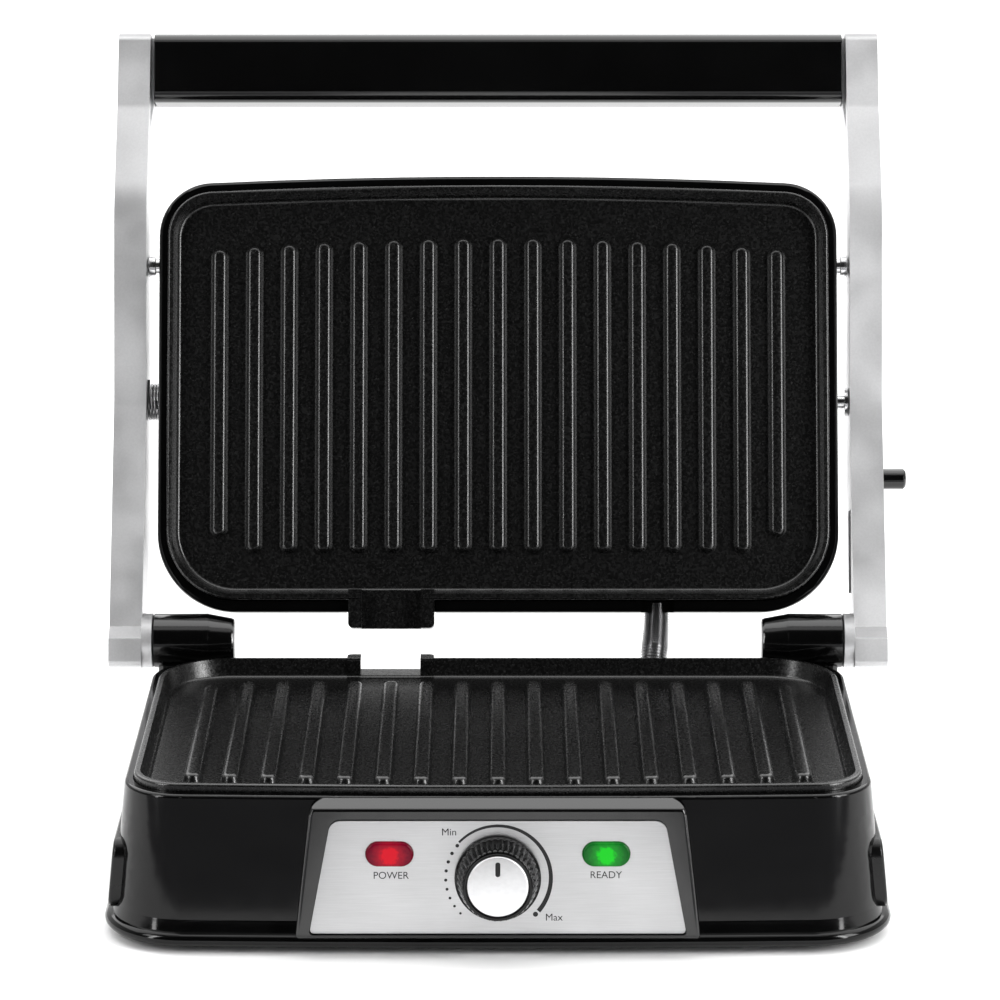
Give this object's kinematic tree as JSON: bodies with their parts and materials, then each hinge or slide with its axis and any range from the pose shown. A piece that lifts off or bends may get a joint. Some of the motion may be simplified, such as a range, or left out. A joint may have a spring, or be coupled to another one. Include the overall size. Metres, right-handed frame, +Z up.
{
  "type": "panini press",
  "caption": "Contact grill with two ribbed plates, a floating lid on two side arms with a bar handle, a dial thermostat and a removable drip tray.",
  "frame": {"origin": "on the surface that the feet stand on, under the middle of the base", "axes": "+X to the user's right, +Y to the back where the hinge is, +Z up; the lid is at its open rest position"},
  "size_m": [0.31, 0.31, 0.2847],
  "materials": {
    "bright_steel": "bright plated steel",
    "brushed_panel": "fine brushed silver sheet",
    "foot_rubber": "matt rubber",
    "gloss_black_plastic": "polished black moulding",
    "green_lens": "green translucent lens",
    "grey_phenolic": "moulded phenolic",
    "heater_sheath": "heater sheath",
    "lamp_glass": "lamp glass",
    "nonstick_coat": "black non-stick coat on cast aluminium",
    "red_lens": "red translucent lens",
    "reflector_sheet": "bright rolled sheet",
    "satin_black_plastic": "satin black moulding",
    "satin_steel": "satin polished cast metal",
    "spring_steel": "spring wire",
    "white_ceramic": "unglazed ceramic",
    "zinc_screws": "zinc plated"
  },
  "bodies": {
    "base": {"base_housing": "gloss_black_plastic", "base_bottom_cover": "satin_black_plastic", "foot_front_left": "foot_rubber", "foot_front_right": "foot_rubber", "foot_rear_left": "foot_rubber", "foot_rear_right": "foot_rubber", "side_panel_left": "satin_black_plastic", "side_panel_right": "satin_black_plastic", "control_bezel": "gloss_black_plastic", "control_fascia": "brushed_panel", "power_light_lens": "red_lens", "power_lamp": "lamp_glass", "power_lamp_holder": "white_ceramic", "ready_light_lens": "green_lens", "ready_lamp": "lamp_glass", "ready_lamp_holder": "white_ceramic", "thermostat": "grey_phenolic", "lower_grill_plate": "nonstick_coat", "lower_heating_element": "heater_sheath", "lower_heat_reflector": "reflector_sheet", "hinge_barrel_left": "satin_black_plastic", "hinge_barrel_right": "satin_black_plastic", "hinge_pin_left": "bright_steel", "hinge_pin_right": "bright_steel", "hinge_barrel_screws": "zinc_screws", "base_cover_screws": "zinc_screws", "terminal_block": "white_ceramic", "power_inlet_gland": "satin_black_plastic", "lid_conduit": "spring_steel"},
    "arm_frame": {"arm_left": "satin_steel", "arm_right": "satin_steel", "handle_bar": "satin_black_plastic", "handle_tie_rod": "bright_steel"},
    "release_latch": {"release_slider": "bright_steel", "release_knob": "satin_black_plastic", "release_spring": "spring_steel"},
    "lid": {"lid_housing": "gloss_black_plastic", "lid_top_cover": "gloss_black_plastic", "upper_grill_plate": "nonstick_coat", "upper_heating_element": "heater_sheath", "upper_heat_reflector": "reflector_sheet", "pivot_pin_left": "bright_steel", "pivot_pin_right": "bright_steel", "pivot_washer_right": "bright_steel", "stop_pin_left": "bright_steel", "stop_pin_right": "bright_steel", "lid_torsion_spring": "spring_steel"},
    "knob": {"thermostat_shaft": "bright_steel", "thermostat_knob": "satin_black_plastic", "thermostat_knob_cap": "brushed_panel"},
    "drip_tray": {"drip_tray": "satin_black_plastic"}
  },
  "joints": [
    {"name": "lid_hinge", "type": "hinge", "parent": "base", "child": "arm_frame", "pos_m": [0, 0.0846, 0.06195], "axis": [-1, 0, 0], "range_deg": [-108.76, 71.24], "deforming": ["lid_conduit"]},
    {"name": "lid_float", "type": "hinge", "parent": "arm_frame", "child": "lid", "pos_m": [0, 0.13076, 0.14623], "axis": [1, 0, 0], "range_deg": [0, 4.5], "stiffness_Nm_per_rad": 1.2, "springref_deg": -20.05, "deforming": ["lid_torsion_spring"]},
    {"name": "knob_turn", "type": "hinge", "parent": "base", "child": "knob", "pos_m": [0, -0.1, 0.0286], "axis": [0, 0.9951, -0.0993], "range_deg": [-134, 134]},
    {"name": "release_slide", "type": "slide", "parent": "arm_frame", "child": "release_latch", "axis": [0, 0.3216, 0.9469], "range_m": [0, 0.006], "stiffness_N_per_m": 300, "springref_m": -0.004, "deforming": ["release_spring"]},
    {"name": "drip_tray_slide", "type": "slide", "parent": "base", "child": "drip_tray", "axis": [0, 1, 0], "range_m": [0, 0.06]}
  ]
}
